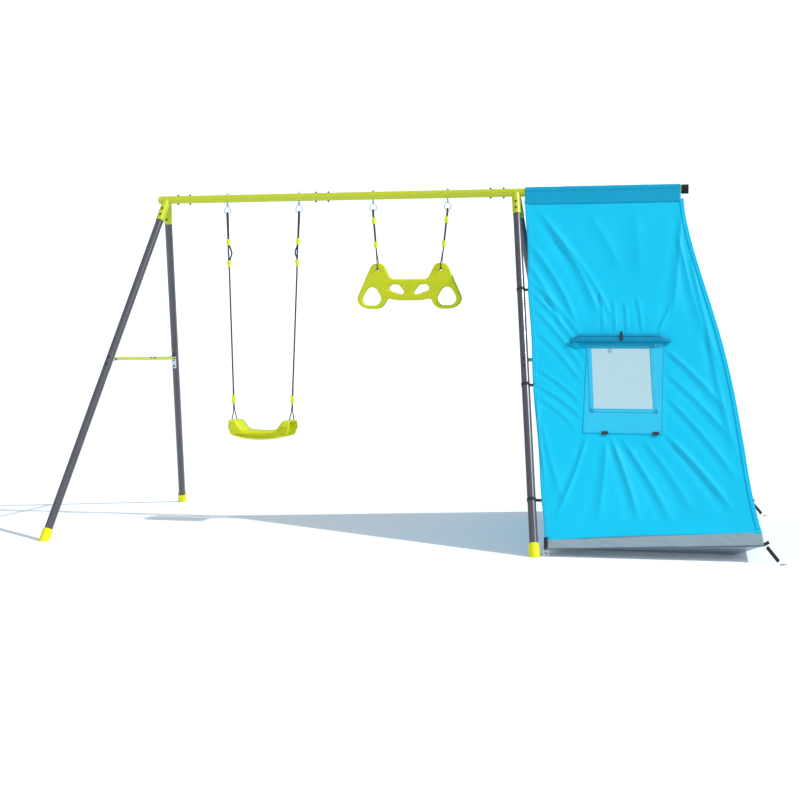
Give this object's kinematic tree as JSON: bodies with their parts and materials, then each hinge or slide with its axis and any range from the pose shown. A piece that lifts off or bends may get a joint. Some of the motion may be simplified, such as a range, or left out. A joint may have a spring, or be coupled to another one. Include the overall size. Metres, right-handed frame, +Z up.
{
  "type": "swing set",
  "caption": "Garden swing set: A-frame beam with a moulded seat swing and a ring trapeze, running on as the ridge of a blue play tent with a clear window.",
  "frame": {"origin": "centre of the footprint, on the ground", "axes": "+X along the beam from the plain end to the tent, -Y the open front, +Z up"},
  "size_m": [3.7218, 2.0514, 1.8785],
  "materials": {
    "lime_powder_coat": "glossy powder coat",
    "grey_leg_paint": "satin powder coat",
    "zinc_plate": "bright zinc plate",
    "black_bolt": "black zinc",
    "lime_plastic": "moulded",
    "black_plastic": "moulded",
    "blue_polyester": "coated plain weave",
    "grey_tub_sheet": "PE-coated sheet",
    "grey_rope": "braided",
    "clear_pvc": "flexible clear sheet",
    "black_webbing": "webbing"
  },
  "bodies": {
    "frame": {"beam_end_cap": "black_plastic", "beam_joint_bolts": "black_bolt", "beam_joint_sleeves": "zinc_plate", "beam_tube_left": "lime_powder_coat", "beam_tube_right": "lime_powder_coat", "brace_brackets": "zinc_plate", "bracket_bolts": "black_bolt", "corner_straps": "black_webbing", "cross_braces": "lime_powder_coat", "door_flap_rolls": "blue_polyester", "door_flap_ties": "black_webbing", "eye_bolt_nuts": "zinc_plate", "eye_bolts": "zinc_plate", "foot_caps": "lime_plastic", "front_left_lower_leg": "grey_leg_paint", "front_left_upper_leg": "grey_leg_paint", "front_right_lower_leg": "grey_leg_paint", "front_right_upper_leg": "grey_leg_paint", "ground_rings": "zinc_plate", "groundsheet": "grey_tub_sheet", "left_corner_bracket": "lime_powder_coat", "left_end_plug": "lime_plastic", "leg_bolts": "black_bolt", "leg_ties": "black_webbing", "lock_nuts": "black_bolt", "rear_left_lower_leg": "grey_leg_paint", "rear_left_upper_leg": "grey_leg_paint", "rear_right_lower_leg": "grey_leg_paint", "rear_right_upper_leg": "grey_leg_paint", "right_tee_bracket": "lime_powder_coat", "tent_beam_tube": "lime_powder_coat", "tent_end_panels": "blue_polyester", "tent_front_wall": "blue_polyester", "tent_left_wall": "blue_polyester", "tent_rear_wall": "blue_polyester", "tent_ridge_sleeve": "blue_polyester", "tub_bands": "grey_tub_sheet", "window_cover": "clear_pvc", "window_flap_roll": "blue_polyester", "window_pane": "clear_pvc", "window_tabs": "black_webbing"},
    "seat_swing": {"rope_ferrules": "lime_plastic", "seat_loop_left": "grey_rope", "seat_loop_right": "grey_rope", "seat_rope_adjusters": "lime_plastic", "seat_rope_left": "grey_rope", "seat_rope_right": "grey_rope", "seat_snap_hooks": "zinc_plate", "swing_seat": "lime_plastic"},
    "trapeze_swing": {"trapeze_bar": "lime_plastic", "trapeze_loop_left": "grey_rope", "trapeze_loop_right": "grey_rope", "trapeze_rope_adjusters": "lime_plastic", "trapeze_rope_left": "grey_rope", "trapeze_rope_right": "grey_rope", "trapeze_snap_hooks": "zinc_plate"},
    "seat_left_gate": {"seat_left_hook_gate": "zinc_plate"},
    "seat_right_gate": {"seat_right_hook_gate": "zinc_plate"},
    "trapeze_left_gate": {"trapeze_left_hook_gate": "zinc_plate"},
    "trapeze_right_gate": {"trapeze_right_hook_gate": "zinc_plate"}
  },
  "joints": [
    {"name": "seat_swing", "type": "hinge", "parent": "frame", "child": "seat_swing", "pos_m": [-0.9655, 0, 1.8045], "axis": [1, 0, 0], "range_deg": [-60, 60]},
    {"name": "trapeze_swing", "type": "hinge", "parent": "frame", "child": "trapeze_swing", "pos_m": [-0.1155, 0, 1.8045], "axis": [1, 0, 0], "range_deg": [-60, 60]},
    {"name": "seat_left_gate", "type": "hinge", "parent": "seat_swing", "child": "seat_left_gate", "pos_m": [-1.16781, 0, 1.79784], "axis": [0, 1, 0], "range_deg": [0, 24], "stiffness_Nm_per_rad": 0.02, "springref_deg": -17.19},
    {"name": "seat_right_gate", "type": "hinge", "parent": "seat_swing", "child": "seat_right_gate", "pos_m": [-0.74481, 0, 1.79784], "axis": [0, 1, 0], "range_deg": [0, 24], "stiffness_Nm_per_rad": 0.02, "springref_deg": -17.19},
    {"name": "trapeze_left_gate", "type": "hinge", "parent": "trapeze_swing", "child": "trapeze_left_gate", "pos_m": [-0.31681, 0, 1.79784], "axis": [0, 1, 0], "range_deg": [0, 24], "stiffness_Nm_per_rad": 0.02, "springref_deg": -17.19},
    {"name": "trapeze_right_gate", "type": "hinge", "parent": "trapeze_swing", "child": "trapeze_right_gate", "pos_m": [0.10419, 0, 1.79784], "axis": [0, 1, 0], "range_deg": [0, 24], "stiffness_Nm_per_rad": 0.02, "springref_deg": -17.19}
  ]
}
